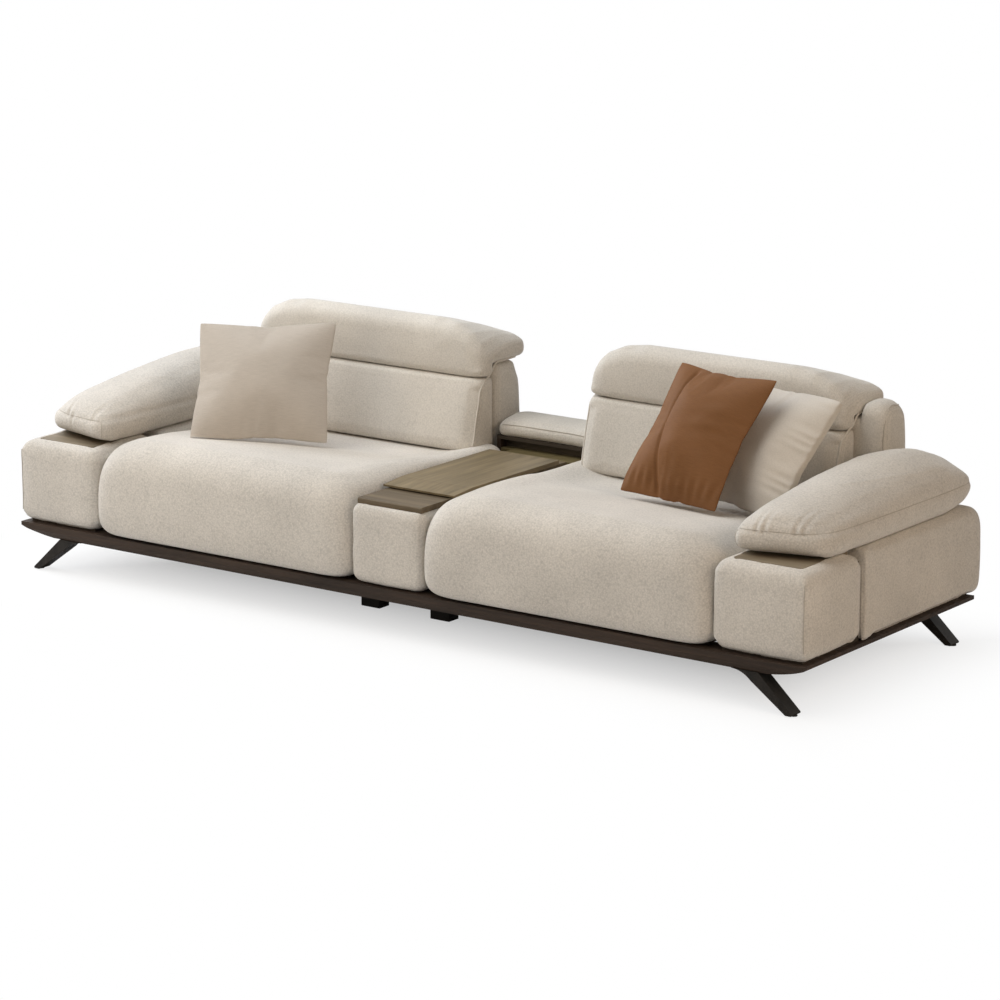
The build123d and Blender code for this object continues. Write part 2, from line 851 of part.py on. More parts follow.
def shells():
    board = shell_frame_board
    x0 = shell_inner + board
    x1 = shell_outer - board
    y0 = shell_front + shell_wall
    y1 = y0 + shell_frame_depth
    z1 = shell_top - board
    pocket = box_between(
        x0 - soft_clearance, x1 + soft_clearance, y0 - soft_clearance, y1 + soft_clearance,
        base_top - overrun, z1 + soft_clearance)
    frame = box_between(x0, x1, y0, y1, base_top, z1)
    beam_low = guide_height - board
    beam_high = guide_height + board
    middle = (x0 + x1) / 2
    for left, right in ((x0 + board, middle - board / 2), (middle + board / 2, x1 - board)):
        for low, high in ((base_top + board, beam_low), (beam_high, z1 - board / 2)):
            frame = frame - box_between(left, right, y0 - overrun, y1 + overrun, low, high)
    sleeves = []
    holes = []
    for x in guide_places():
        frame = frame - guide_bar(x, -shell_frame_depth, shell_frame_depth, sleeve_radius)
        sleeve = guide_bar(x, -sleeve_length / 2, sleeve_length / 2, sleeve_radius)
        bore = guide_bar(x, -sleeve_length, sleeve_length, rod_radius + rod_clearance)
        sleeves.append(sleeve - bore)
        holes.append(guide_bar(x, -rod_tail - body_clearance, board_reach, sleeve_radius))
    for side in sides:
        form = shell_wall_form(back_bottom + wing_rises[side]) - pocket - holes
        save(on_side(form, side), f"back_shell_{side}")
        save(on_side(frame, side), f"shell_frame_{side}")
    save(group([on_side(sleeve, side) for side in sides for sleeve in sleeves]), "guide_sleeves")


def lower_section():
    """The lower back section: its front leans back from a soft bottom edge to the seam."""
    sections = []
    for x, reach in eased_places(back_inner, back_outer, back_side_round):
        draw = back_side_inset * drawn_in(reach, back_side_round)
        low = back_bottom + draw / 4
        corners = [(back_foot_front + draw, low), (back_rear, low), (back_rear, back_seam_height),
                   (back_seam_front + draw, back_seam_height)]
        legs_ = [back_bottom_round, back_bottom_round / 2, welt_radius / 2, welt_radius]
        sections.append(Plane.YZ.offset(x) * soft_outline(corners, legs_, [0, 0, 0, welt_radius]))
    return loft(sections, ruled=True)


def upper_section():
    """The upper back section: it swells over a crest and rolls down behind into a lip."""
    sections = []
    for x, reach in eased_places(back_inner, back_outer, crest_end_round):
        draw = back_side_inset * drawn_in(reach, back_side_round)
        end = drawn_in(reach, crest_end_round)
        seam = back_seam_height + soft_clearance
        lip = (lip_rear - draw / 3, lip_height + lip_round - lip_end_drop * end)
        crest = (back_seam_front - welt_radius + draw, back_top + crest_round / 4 - crest_end_drop * end)
        corners = [
            (back_seam_front + draw, seam), (back_rear, seam), (back_rear, lip_underside),
            (lip_rear - draw / 3, lip_underside + draw / 6), lip, crest]
        crest_leg = crest_round * (1 - end * 3 / 4)
        legs_ = [welt_radius, welt_radius / 2, welt_radius, lip_round / 2, lip_round, crest_leg]
        bulges = [0, 0, 0, 0, welt_radius * (1 + end * 2), welt_radius * (1 - end)]
        sections.append(Plane.YZ.offset(x) * soft_outline(corners, legs_, bulges))
    return loft(sections, ruled=True)


def backs():
    lower = lower_section()
    upper = upper_section()
    width = back_outer - back_inner - board_margin * 2
    height = board_down + board_up
    place = guide_frame() * Pos((back_inner + back_outer) / 2, (board_up - board_down) / 2, board_reach)
    board = place * Pos(0, 0, board_thickness / 2) * Box(width, height, board_thickness)
    pocket = place * Pos(0, 0, board_thickness / 2) * Box(
        width + fit_clearance * 2, height + fit_clearance * 2, board_thickness + fit_clearance * 2)
    rods = []
    wells = []
    for x in guide_places():
        rod = guide_bar(x, -rod_tail, board_reach + board_thickness, rod_radius)
        flange = guide_bar(x, board_reach - flange_thickness, board_reach, flange_radius)
        rods.append(rod + flange)
        board = board - guide_bar(x, board_reach, board_reach + board_thickness, rod_radius)
        wells.append(guide_bar(x, 0, board_reach + fit_clearance, flange_radius + fit_clearance))
    lower = lower - pocket - wells
    upper = upper - pocket
    for side in sides:
        save(on_side(lower, side), f"back_lower_{side}")
        save(on_side(upper, side), f"back_upper_{side}")
        save(on_side(board, side), f"back_board_{side}")
        save(group([on_side(rod, side) for rod in rods]), f"guide_rods_{side}")


# Scatter cushions

def pillow(width, height, thickness):
    """A scatter cushion, flat in XZ: crowned faces, drawn-in sides and pointed corners."""
    layer_share = (-1, -0.93, -0.7, -0.36, 0, 0.36, 0.7, 0.93, 1)
    corner_share = (0.22, 0.50, 0.74, 0.88, 1, 0.88, 0.74, 0.50, 0.22)
    side_share = (0.30, 0.60, 0.82, 0.91, 0.93, 0.91, 0.82, 0.60, 0.30)
    sections = []
    for layer, corner, side in zip(layer_share, corner_share, side_share):
        u = width / 2 * corner
        v = height / 2 * corner
        across = width / 2 * side
        up = height / 2 * side
        edges = [
            ThreePointArc((-u, -v), (0, -up), (u, -v)), ThreePointArc((u, -v), (across, 0), (u, v)),
            ThreePointArc((u, v), (0, up), (-u, v)), ThreePointArc((-u, v), (-across, 0), (-u, -v))]
        sections.append(Plane.XZ.offset(-thickness / 2 * layer) * make_face(edges))
    return loft(sections, ruled=True)


def scatter_cushions():
    for name, (width, height, thickness) in cushion_sizes.items():
        yaw, lean, roll = cushion_turns[name]
        turn = Rot(0, 0, yaw) * Rot(lean, 0, 0) * Rot(0, roll, 0)
        inward, along, rise = cushion_centres[name]
        place = Pos(sides[cushion_sides[name]] * (seat_outer - inward), along, seat_rear_height + rise)
        save(place * turn * pillow(width, height, thickness), f"scatter_cushion_{name}")


os.makedirs("parts", exist_ok=True)
base_rails()
legs()
centre_feet()
frame_bolts()
seats()
ends()
console()
shells()
backs()
scatter_cushions()
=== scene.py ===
# %% [markdown]
# # A long low sofa on a timber platform
# The joined timber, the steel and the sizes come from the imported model. This file makes what a drawing
# in solids can't show: padding that swells, cloth with a weave, welt cord, wood with a grain.
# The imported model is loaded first, and every piece below is worked in its frame, in metres.

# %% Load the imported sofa
import bpy
import bmesh
import json
import math
import numpy as np
from mathutils import Matrix, Vector
from mathutils.bvhtree import BVHTree


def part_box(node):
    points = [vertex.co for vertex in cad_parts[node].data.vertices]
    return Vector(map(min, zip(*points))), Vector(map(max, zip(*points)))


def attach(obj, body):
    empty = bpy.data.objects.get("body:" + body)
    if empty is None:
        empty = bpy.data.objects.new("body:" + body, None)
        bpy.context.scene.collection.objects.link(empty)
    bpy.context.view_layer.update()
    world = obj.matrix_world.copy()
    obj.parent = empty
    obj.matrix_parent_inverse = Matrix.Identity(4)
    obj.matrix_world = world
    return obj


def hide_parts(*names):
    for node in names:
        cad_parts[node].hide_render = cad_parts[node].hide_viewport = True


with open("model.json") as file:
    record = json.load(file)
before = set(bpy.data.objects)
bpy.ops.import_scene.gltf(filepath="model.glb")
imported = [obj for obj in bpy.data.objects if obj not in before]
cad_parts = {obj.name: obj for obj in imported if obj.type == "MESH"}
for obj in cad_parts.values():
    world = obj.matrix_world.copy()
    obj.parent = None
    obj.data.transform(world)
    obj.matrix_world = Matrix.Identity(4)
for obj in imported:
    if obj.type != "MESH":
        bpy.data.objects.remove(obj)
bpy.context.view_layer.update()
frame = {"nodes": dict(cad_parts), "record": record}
solids = frame["nodes"]
hands = {"left": -1, "right": 1}
body_of = {node: body for body, nodes in frame["record"]["behaviour"]["bodies"].items() for node in nodes}

# %% [markdown]
# ## The camera
# The sofa is seen from the right, a little from above, with a long lens: its parallel edges hardly draw
# together. The place, the turn and the lens were worked out from the straight edges of the platform.

# %% Set the camera
camera = bpy.data.objects.new("camera", bpy.data.cameras.new("camera"))
bpy.context.collection.objects.link(camera)
camera.location = (7.061, -9.7015, 3.226)
camera.rotation_euler = (math.radians(90 - 13.527), 0, math.radians(35.792))
camera.data.sensor_width = 36
camera.data.lens = 36 * 3910.756 / 1000
camera.data.clip_end = 200
bpy.context.scene.camera = camera
bpy.context.scene.view_settings.view_transform = "Standard"
print("lens:", round(camera.data.lens, 1), "mm")

# %% [markdown]
# ## Shader maths as sums
# A finish is a net of nodes. Written out link by link it hides what it does, so a small class wraps a
# node's output and lets it be added and multiplied like a number. Each sum puts in one Math node.

# %% A socket that can be added and multiplied
class Value:
    def __init__(self, board, out):
        self.board = board
        self.out = out

    def sum_with(self, operation, first, second):
        return self.board.node("ShaderNodeMath", {"operation": operation}, {0: first, 1: second})

    def __add__(self, other):
        return self.sum_with("ADD", self, other)

    def __sub__(self, other):
        return self.sum_with("SUBTRACT", self, other)

    def __mul__(self, other):
        return self.sum_with("MULTIPLY", self, other)

    def __rsub__(self, other):
        return self.sum_with("SUBTRACT", other, self)

    __radd__ = __add__
    __rmul__ = __mul__


class Board:
    """One finish: its material, and the nodes laid out in it."""

    def __init__(self, name):
        self.material = bpy.data.materials.new(name)
        self.material.use_nodes = True
        self.tree = self.material.node_tree
        self.surface = self.tree.nodes["Principled BSDF"]
        self.output = self.tree.nodes["Material Output"]

    def node(self, kind, settings=None, sockets=None, out=0):
        """Put in one node: its settings first, then numbers or links for its sockets."""
        made = self.tree.nodes.new(kind)
        for key, value in (settings or {}).items():
            if key == "stops":
                for index, (place, colour) in enumerate(value):
                    stop = made.color_ramp.elements[index] if index < 2 else made.color_ramp.elements.new(place)
                    stop.position = place
                    stop.color = (*colour, 1)
            else:
                setattr(made, key, value)
        for key, value in (sockets or {}).items():
            if isinstance(value, Value):
                self.tree.links.new(value.out, made.inputs[key])
            else:
                made.inputs[key].default_value = value
        return Value(self, made.outputs[out])

    def place(self, scale=(1, 1, 1), turn=(0, 0, 0), attribute=None):
        """Where on the sofa a point lies, stretched along the axes and turned."""
        if attribute:
            here = self.node("ShaderNodeAttribute", {"attribute_name": attribute}, out="Vector")
        else:
            here = self.node("ShaderNodeTexCoord", out="Object")
        return self.node("ShaderNodeMapping", None, {"Vector": here, "Scale": scale, "Rotation": turn})

    def noise(self, place, scale, detail=2.0, rough=0.5):
        sockets = {"Vector": place, "Scale": scale, "Detail": detail, "Roughness": rough}
        return self.node("ShaderNodeTexNoise", None, sockets)

    def mix(self, share, first, second):
        """A colour between two others."""
        sockets = {0: share, 6: first, 7: second}
        return self.node("ShaderNodeMix", {"data_type": "RGBA"}, sockets, out=2)

    def ramp(self, share, stops):
        return self.node("ShaderNodeValToRGB", {"stops": stops}, {0: share})

    def bump(self, height, strength, depth):
        return self.node("ShaderNodeBump", None, {"Height": height, "Strength": strength, "Distance": depth})

    def finish(self, **sockets):
        """Give the shader its colour, roughness and the rest, by the names of its sockets."""
        for key, value in sockets.items():
            socket = self.surface.inputs[key.replace("_", " ")]
            if isinstance(value, Value):
                self.tree.links.new(value.out, socket)
            else:
                socket.default_value = value
        return self.material


print("shader helpers ready")

# %% [markdown]
# ## Floor, backdrop and light
# A pale floor under a large soft lamp from the upper left gives the bright tops, the quieter fronts and
# the shaded right-hand sides. Away from the sofa the floor turns to plain white, so that no edge shows.

# %% Floor and backdrop
floor = bpy.data.objects.new("floor", bpy.data.meshes.new("floor"))
bpy.context.collection.objects.link(floor)
form = bmesh.new()
bmesh.ops.create_grid(form, x_segments=1, y_segments=1, size=60)
form.to_mesh(floor.data)
form.free()

board = Board("studio_floor")
beside = board.node("ShaderNodeVectorMath", {"operation": "ABSOLUTE"}, {0: board.place()}, out="Vector")
past = board.node("ShaderNodeVectorMath", {"operation": "SUBTRACT"}, {0: beside, 1: (1.45, 0.5, 0)}, out="Vector")
apart = board.node("ShaderNodeSeparateXYZ", None, {0: past})
deep = Value(board, apart.out.node.outputs["Y"])
outside = board.node("ShaderNodeMath", {"operation": "MAXIMUM"}, {0: apart, 1: deep})
fade = board.node("ShaderNodeMapRange", {"interpolation_type": "SMOOTHSTEP"},
                  {"Value": outside, "From Min": -1.0, "From Max": 0.4})
shadowed = board.node("ShaderNodeBsdfDiffuse", None, {"Color": (1, 1, 1, 1)})
white = board.node("ShaderNodeEmission", None, {"Color": (1, 1, 1, 1), "Strength": 1.0})
seen_floor = board.node("ShaderNodeMixShader", None, {0: fade, 1: shadowed, 2: white})
rays = board.node("ShaderNodeLightPath", None, None, out="Is Camera Ray")
grey = board.node("ShaderNodeBsdfDiffuse", None, {"Color": (0.8, 0.8, 0.8, 1)})
both = board.node("ShaderNodeMixShader", None, {0: rays, 1: grey, 2: seen_floor})
board.tree.links.new(both.out, board.output.inputs["Surface"])
floor.data.materials.append(board.material)

# %% White background and soft lamps
world = bpy.data.worlds.new("studio")
world.use_nodes = True
bpy.context.scene.world = world
air = world.node_tree
backdrop = air.nodes["Background"]
paths = air.nodes.new("ShaderNodeLightPath")
shown = air.nodes.new("ShaderNodeBackground")
shown.inputs["Strength"].default_value = 1.0
shown.inputs["Color"].default_value = (1, 1, 1, 1)
backdrop.inputs["Color"].default_value = (1, 0.93, 0.85, 1)
backdrop.inputs["Strength"].default_value = 0.11
joined = None
for name in ("Is Camera Ray", "Is Glossy Ray", "Is Transmission Ray"):
    if joined is None:
        joined = paths.outputs[name]
        continue
    either = air.nodes.new("ShaderNodeMath")
    either.operation = "MAXIMUM"
    air.links.new(joined, either.inputs[0])
    air.links.new(paths.outputs[name], either.inputs[1])
    joined = either.outputs[0]
pick = air.nodes.new("ShaderNodeMixShader")
air.links.new(joined, pick.inputs[0])
air.links.new(backdrop.outputs[0], pick.inputs[1])
air.links.new(shown.outputs[0], pick.inputs[2])
air.links.new(pick.outputs[0], air.nodes["World Output"].inputs["Surface"])


def soft_lamp(name, place, target, size, power, colour):
    lamp = bpy.data.objects.new(name, bpy.data.lights.new(name, "AREA"))
    bpy.context.collection.objects.link(lamp)
    lamp.data.size = size
    lamp.data.energy = power
    lamp.data.color = colour
    lamp.location = place
    lamp.rotation_euler = (Vector(target) - Vector(place)).to_track_quat("-Z", "Y").to_euler()


soft_lamp("lamp_over_back", (-1.2, 0.9, 5.6), (0, 0, 0.3), 5.0, 75, (0.80, 0.90, 1))
soft_lamp("lamp_over_front", (-1.8, -2.2, 5.2), (0, 0, 0.3), 5.0, 212, (1, 1, 0.98))
soft_lamp("lamp_front", (-4.2, -5.6, 2.8), (-0.3, 0, 0.4), 3.5, 62, (1, 0.80, 0.55))
soft_lamp("lamp_right", (5.5, -1.5, 2.6), (0.3, 0, 0.4), 3.0, 82, (1, 0.80, 0.60))
soft_lamp("lamp_left", (-5.5, 0.3, 3.2), (-0.3, 0, 0.4), 3.0, 205, (0.87, 0.92, 1))
print("lamps set")

# %% [markdown]
# ## Cloth finishes
# The cover is a nubby woven cloth: small loops a few millimetres across that catch the light, over a
# slow change of tone. Loops are too many to model, so noise lifts the surface with a bump instead. The
# fuzz that lights up along the edges is the shader's sheen.

# %% Nubby cloth, ribbed cloth, linen, satin
def nubby_cloth(name, colour, nub=0.0045, depth=0.0016, contrast=0.16, rib=0.0):
    """Loops of the given size, on a colour that drifts a little."""
    board = Board(name)
    here = board.place()
    loops = board.noise(here, 1 / nub, 3.0, 0.62)
    tight = board.node("ShaderNodeTexVoronoi", None, {"Vector": here, "Scale": 0.7 / nub})
    drift = board.noise(here, 5.0, 2.0)
    height = loops * 0.65 + (1 - tight) * 0.35
    if rib:
        threads = board.node("ShaderNodeTexWave", {"bands_direction": "X"},
                             {"Vector": here, "Scale": 0.314 / rib, "Distortion": 4.0, "Detail": 2.0,
                              "Detail Scale": 1.5})
        height = height * 0.86 + threads * 0.14
    tone = height * 0.7 + drift * 0.3
    dark = [channel * (1 - contrast) ** 2 for channel in colour]
    light = [min(1, channel * (1 + contrast)) for channel in colour]
    shade = board.ramp(tone, [(0.3, dark), (0.72, light)])
    rough = 0.86 + loops * 0.1
    return board.finish(Base_Color=shade, Roughness=rough, Normal=board.bump(height, 0.75, depth),
                        Sheen_Weight=0.35, Sheen_Roughness=0.55, Specular_IOR_Level=0.25)


cloth = {
    "nubby": nubby_cloth("oatmeal_nubby", (0.655, 0.605, 0.54)),
    "ribbed": nubby_cloth("oatmeal_ribbed", (0.685, 0.64, 0.575), nub=0.004, depth=0.0014, contrast=0.13, rib=0.004),
    "welt": nubby_cloth("welt_cloth", (0.70, 0.655, 0.59), nub=0.003, depth=0.0006, contrast=0.08),
    "off_white": nubby_cloth("off_white_cloth", (0.645, 0.59, 0.52), nub=0.003, depth=0.0007, contrast=0.06),
    # The seam cloth is the cover's tone made darker: cords of it along the seams are painted shade for the dark line
    # in each seam.
    "seam": nubby_cloth("seam_painted_shade_cloth", (0.46, 0.41, 0.35), nub=0.002, depth=0.0003, contrast=0.08),
}


def woven_cloth(name, colour, thread, depth, contrast, rough, sheen, gloss, attribute="on_cloth"):
    """Threads that cross over and under, on the piece's own flat coordinates."""
    board = Board(name)
    flat = board.place(attribute=attribute)
    across = board.node("ShaderNodeTexWave", {"bands_direction": "X"},
                        {"Vector": flat, "Scale": 0.314 / thread, "Distortion": 1.2, "Detail": 2.0,
                         "Detail Scale": 6.0})
    up = board.node("ShaderNodeTexWave", {"bands_direction": "Z"},
                    {"Vector": flat, "Scale": 0.314 / thread, "Distortion": 1.2, "Detail": 2.0,
                     "Detail Scale": 6.0})
    slub = board.noise(board.place((30, 30, 400), attribute=attribute), 1.0, 3.0)
    drift = board.noise(flat, 6.0, 2.0)
    weave = across * up
    tone = weave * 0.4 + slub * 0.35 + drift * 0.25
    dark = [channel * (1 - contrast) ** 2 for channel in colour]
    light = [min(1, channel * (1 + contrast)) for channel in colour]
    shade = board.ramp(tone, [(0.2, dark), (0.62, light)])
    return board.finish(Base_Color=shade, Roughness=rough + weave * 0.06,
                        Normal=board.bump(weave * 0.6 + slub * 0.4, 0.6, depth),
                        Sheen_Weight=sheen, Sheen_Roughness=0.5, Specular_IOR_Level=gloss)


cloth["linen"] = woven_cloth("linen_weave", (0.530, 0.466, 0.398), 0.0030, 0.0009, 0.12, 0.86, 0.20, 0.3)
cloth["satin"] = woven_cloth("brown_satin_weave", (0.205, 0.092, 0.036), 0.0016, 0.0002, 0.16, 0.60, 0.0, 0.1)
print("cloth finishes:", list(cloth))

# %% [markdown]
# ## Wood and metal finishes
# Grain is noise that is stretched many times longer along the board than across it. Two such layers,
# one for growth rings and one for fine pores, give a stained walnut. Each board's own direction is used.

# %% Stained woods
def stained_wood(name, dark, light, along="X", rough=0.42, streak=1.0, pore_depth=0.0003, gloss=0.2):
    board = Board(name)
    stretch = {"X": (2.2, 34, 34), "Y": (34, 2.2, 34), "Z": (34, 34, 2.2)}[along]
    here = board.place(stretch)
    rings = board.noise(here, 1.0, 4.0, 0.6)
    pores = board.noise(board.place([s * 5 for s in stretch]), 1.0, 2.0, 0.7)
    drift = board.noise(board.place(), 3.0, 2.0)
    tone = rings * (0.62 * streak) + pores * 0.2 + drift * 0.18 + (1 - streak) * 0.31
    shade = board.ramp(tone, [(0.34, dark), (0.66, light)])
    return board.finish(Base_Color=shade, Roughness=rough + pores * 0.16,
                        Normal=board.bump(pores * 0.5 + rings * 0.5, 0.35, pore_depth),
                        Specular_IOR_Level=gloss)


wood = {
    "platform": stained_wood("dark_walnut_grain", (0.016, 0.011, 0.008), (0.062, 0.040, 0.028), rough=0.5),
    "legs": stained_wood("black_brown_grain", (0.008, 0.007, 0.006), (0.026, 0.022, 0.018), "Z", 0.52),
    "top": stained_wood("taupe_walnut_grain", (0.105, 0.079, 0.042), (0.27, 0.208, 0.122), "Y", 0.42),
    "end": stained_wood("grey_walnut_grain", (0.130, 0.103, 0.070), (0.30, 0.245, 0.170), "X", 0.40),
    "tray": stained_wood("tray_walnut_grain", (0.072, 0.053, 0.031), (0.185, 0.140, 0.088), "X", 0.45),
    "olive": stained_wood("olive_grain", (0.10, 0.078, 0.036), (0.22, 0.175, 0.085), "X", 0.38),
    "panel": stained_wood("grey_brown_grain", (0.06, 0.048, 0.034), (0.12, 0.098, 0.07), "X", 0.55),
    # The hidden frame timber is darkened to paint shade in the gaps between pads, where it shows.
    "frame": stained_wood("frame_timber_painted_shade", (0.030, 0.024, 0.018), (0.075, 0.058, 0.042), "X", 0.72, 0.8),
}

# %% Steel, plastic and webbing
board = Board("bright_steel")
brushed = board.noise(board.place((400, 400, 20)), 1.0, 2.0)
board.finish(Base_Color=(0.56, 0.56, 0.57, 1), Metallic=1.0, Roughness=0.24 + brushed * 0.2,
             Normal=board.bump(brushed, 0.2, 0.0001))
steel = board.material
board = Board("glide_plastic")
grainy = board.noise(board.place(), 900.0, 2.0)
board.finish(Base_Color=board.ramp(grainy, [(0.3, (0.02, 0.02, 0.02)), (0.7, (0.05, 0.05, 0.05))]),
             Roughness=0.5 + grainy * 0.2, Normal=board.bump(grainy, 0.3, 0.0002))
plastic = board.material
board = Board("elastic_webbing")
ribs = board.node("ShaderNodeTexWave", {"bands_direction": "DIAGONAL"}, {"Vector": board.place(), "Scale": 60.0})
board.finish(Base_Color=board.ramp(ribs, [(0.2, (0.03, 0.028, 0.026)), (0.8, (0.16, 0.14, 0.12))]),
             Roughness=0.8 + ribs * 0.1, Normal=board.bump(ribs, 0.5, 0.0006))
webbing = board.material

# %% Dress the solids that keep their shape
finish_of = {
    "base_": wood["platform"], "foot_boards": wood["platform"], "leg_front": wood["legs"],
    "leg_rear": wood["legs"], "centre_feet": wood["legs"], "leg_plates": steel, "leg_screws": steel,
    "frame_bolts": steel, "guide_": steel, "floor_glides": plastic, "seat_webbing": webbing,
    "seat_frame": wood["frame"], "side_frame": wood["frame"], "shell_frame": wood["frame"],
    "console_carcass": wood["frame"], "back_board": wood["frame"], "pad_board": wood["frame"],
    "end_tray": wood["end"], "console_tray": wood["tray"], "table_slab": wood["top"],
    "slab_spacers": wood["top"], "niche_side": wood["platform"], "niche_back": wood["panel"],
    "niche_ledge": wood["olive"],
}
for node, solid in solids.items():
    for start, finish in finish_of.items():
        if node.startswith(start):
            for index in range(len(solid.data.materials)):
                solid.data.materials[index] = finish

# %% [markdown]
# ## Padding
# Every padded piece starts as a copy of its solid, drawn in by a few millimetres. A voxel remesh turns it
# into an even skin, and a short cloth simulation blows that skin up like a cover over foam: flats get a
# slight swell, edges go round. Then each point is kept near the solid, and nearer where a neighbour is
# close, so that nothing runs into anything else.

# %% Helpers for padding
def new_piece(name, form):
    """An object at the origin from a bmesh."""
    mesh = bpy.data.meshes.new(name)
    form.to_mesh(mesh)
    form.free()
    piece = bpy.data.objects.new(name, mesh)
    bpy.context.collection.objects.link(piece)
    return piece


def settle(piece):
    """Give the piece the mesh that its modifiers make, and drop them."""
    bpy.context.view_layer.update()
    ready = piece.evaluated_get(bpy.context.evaluated_depsgraph_get())
    mesh = bpy.data.meshes.new_from_object(ready)
    piece.modifiers.clear()
    piece.data = mesh
    return piece


def filled_copy(node, *hollows):
    """A joined copy of a solid, its inner hollows filled with blocks."""
    form = bmesh.new()
    form.from_mesh(solids[node].data)
    bmesh.ops.remove_doubles(form, verts=form.verts, dist=1e-5)
    low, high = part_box(node)
    for other in hollows:
        start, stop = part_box(other)
        reach = [(max(start[i] - 0.004, low[i] + 0.004), min(stop[i] + 0.004, high[i] - 0.004)) for i in range(3)]
        reach[2] = (low[2], reach[2][1])
        middle = Vector([(a + b) / 2 for a, b in reach])
        size = Matrix.Diagonal([b - a for a, b in reach] + [1])
        bmesh.ops.create_cube(form, size=1, matrix=Matrix.Translation(middle) @ size)
    return form


def evened_out(mesh, rounds, axes=(True, True, True)):
    """Smooth a mesh by moving each point half-way to the middle of its neighbours."""
    form = bmesh.new()
    form.from_mesh(mesh)
    for _ in range(rounds):
        bmesh.ops.smooth_vert(form, verts=form.verts, factor=0.5, use_axis_x=axes[0], use_axis_y=axes[1],
                              use_axis_z=axes[2])
    form.to_mesh(mesh)
    form.free()
    mesh.update()


def even_skin(piece, voxel, rounds):
    """Voxel remesh, then a little smoothing that takes the facets out."""
    skin = piece.modifiers.new("skin", "REMESH")
    skin.mode = "VOXEL"
    skin.voxel_size = voxel
    settle(piece)
    evened_out(piece.data, rounds)


def solid_tree(*nodes):
    """A searchable copy of some solids' surfaces."""
    form = bmesh.new()
    for node in nodes:
        form.from_mesh(solids[node].data)
    bmesh.ops.remove_doubles(form, verts=form.verts, dist=1e-5)
    form.normal_update()
    tree = BVHTree.FromBMesh(form)
    form.free()
    return tree


pads = {}


def start_pad(node, voxel, rounds, cap, proud, drawn, hollows=(), fill=0.7, cover="nubby"):
    """Queue one padded piece: its skin is made now and blown up with the others."""
    piece = new_piece("pad_" + node, filled_copy(node, *hollows))
    even_skin(piece, voxel, rounds)
    form = bmesh.new()
    form.from_mesh(piece.data)
    for point in form.verts:
        point.co -= point.normal * drawn
    form.to_mesh(piece.data)
    form.free()
    pads[node] = {"piece": piece, "cap": cap, "proud": proud, "fill": fill, "cover": cover, "soften": rounds}


# %% Seats, backs, ends and console pads
for side in hands:
    inner_seat = (f"seat_frame_{side}", f"seat_webbing_{side}")
    start_pad(f"seat_cushion_{side}", 0.014, 4, 0.014, 0.003, 0.002, inner_seat, 0.8)
    start_pad(f"back_lower_{side}", 0.010, 1, 0.008, 0.003, 0.001, (f"back_board_{side}",), 0.75, "ribbed")
    start_pad(f"back_upper_{side}", 0.010, 2, 0.010, 0.003, 0.001, (), 0.75, "ribbed")
    start_pad(f"back_shell_{side}", 0.012, 2, 0.008, 0.003, 0.001, (f"shell_frame_{side}",), 0.6, "ribbed")
    start_pad(f"end_block_{side}", 0.008, 1, 0.006, 0.002, 0.001, (f"side_frame_{side}",), 0.7)
    start_pad(f"side_body_{side}", 0.010, 1, 0.008, 0.003, 0.001, (f"side_frame_{side}",), 0.7)
    start_pad(f"arm_cushion_{side}", 0.0065, 12, 0.012, 0.030, 0.002, (), 0.8)
start_pad("console_block", 0.008, 1, 0.006, 0.002, 0.001, (), 0.7)
start_pad("rear_pad", 0.007, 1, 0.008, 0.003, 0.001, (), 0.7, "ribbed")
print("pads queued:", len(pads))

# %% [markdown]
# ## Scatter cushions
# A loose cushion is two square sheets of cloth sewn edge to edge and filled. It is made that way here: a
# flat grid, given a thin back, is blown up until it is as thick as its filling. Its sides draw in by
# themselves and small puckers run in from the seam, which no drawn outline would give.

# %% Sew the scatter cushions flat
cushion_makes = {
    # size over the corners, filled thickness, side strip, rounds of evening, centre, turn, lean and roll, cover
    "beige": ((0.450, 0.420), 0.130, 0.010, 16, (-0.8264, -0.0754, 0.638), (27.8, -39.2, -2.1), "linen"),
    "brown": ((0.402, 0.427), 0.150, 0.008, 5, (0.7995, 0.0075, 0.6622), (-11.7, -38.2, -0.5), "satin"),
    "cream": ((0.420, 0.420), 0.130, 0.055, 8, (0.9574, 0.1084, 0.6209), (-10.3, -35.3, 6.2), "off_white"),
}


def turned(angles):
    yaw, lean, roll = [math.radians(angle) for angle in angles]
    return Matrix.Rotation(yaw, 4, "Z") @ Matrix.Rotation(lean, 4, "X") @ Matrix.Rotation(roll, 4, "Y")


def sewn_sheets(width, height, strip, steps=70):
    """A flat grid standing in XZ with a second sheet behind it, joined by a strip all round."""
    form = bmesh.new()
    bmesh.ops.create_grid(form, x_segments=steps, y_segments=steps, size=0.5)
    bmesh.ops.rotate(form, verts=form.verts, cent=(0, 0, 0), matrix=Matrix.Rotation(math.radians(90), 3, "X"))
    bmesh.ops.scale(form, verts=form.verts, vec=(width, 1, height))
    bmesh.ops.solidify(form, geom=form.faces[:], thickness=strip)
    across = [edge for edge in form.edges if abs(edge.verts[0].co.y - edge.verts[1].co.y) > strip / 2]
    if strip > 0.02:
        bmesh.ops.subdivide_edges(form, edges=across, cuts=4)
    bmesh.ops.recalc_face_normals(form, faces=form.faces)
    return form


for colour, (size, thick, strip, evening, centre, turn, cover) in cushion_makes.items():
    piece = new_piece("pad_scatter_cushion_" + colour, sewn_sheets(size[0] * 1.06, size[1] * 1.06, strip))
    flat = piece.data.attributes.new("on_cloth", "FLOAT_VECTOR", "POINT")
    flat.data.foreach_set("vector", [value for point in piece.data.vertices for value in point.co])
    pads["scatter_cushion_" + colour] = {"piece": piece, "cap": 1.0, "proud": 0.014, "fill": 0.6, "cover": cover,
                                         "sewn": (size, thick, evening, centre, turn)}

